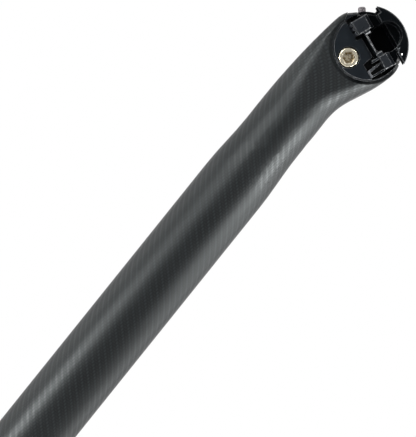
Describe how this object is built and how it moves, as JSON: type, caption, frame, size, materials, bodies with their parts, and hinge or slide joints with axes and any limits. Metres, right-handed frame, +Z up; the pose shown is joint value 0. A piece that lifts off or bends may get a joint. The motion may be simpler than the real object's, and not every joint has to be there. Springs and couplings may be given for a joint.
{
  "type": "bicycle seatpost",
  "caption": "Carbon bicycle seatpost with a set-back trough head and a side-bolt wedge clamp that hooks over the saddle rails and tilts in the trough.",
  "frame": {"origin": "centre of the tube's open lower end", "axes": "+Z up the post's axis, +X to the side the head is set back to (the rear of the bicycle), -Y the side the bolt goes in from"},
  "size_m": [0.0414, 0.055, 0.3679],
  "materials": {
    "carbon_laminate": "fine twill carbon weave under a satin clear coat",
    "black_anodised": "black anodised, fine bead blasted, bright worn edges",
    "champagne_bolt": "pale gold plated steel",
    "grey_rubber": "dull moulded rubber"
  },
  "bodies": {
    "post": {"post_shell": "carbon_laminate", "trough_sleeve": "black_anodised"},
    "clamp": {"clamp_core": "black_anodised", "left_wedge": "black_anodised", "right_wedge": "black_anodised", "left_rail_cradle": "black_anodised", "right_rail_cradle": "black_anodised", "clamp_bolt": "champagne_bolt", "bolt_washer": "champagne_bolt", "clamp_nut": "champagne_bolt", "nose_bumper": "grey_rubber"}
  },
  "joints": [
    {"name": "saddle_tilt", "type": "hinge", "parent": "post", "child": "clamp", "pos_m": [0.008, 0, 0.35], "axis": [0, 1, 0], "range_deg": [-5, 8]}
  ]
}
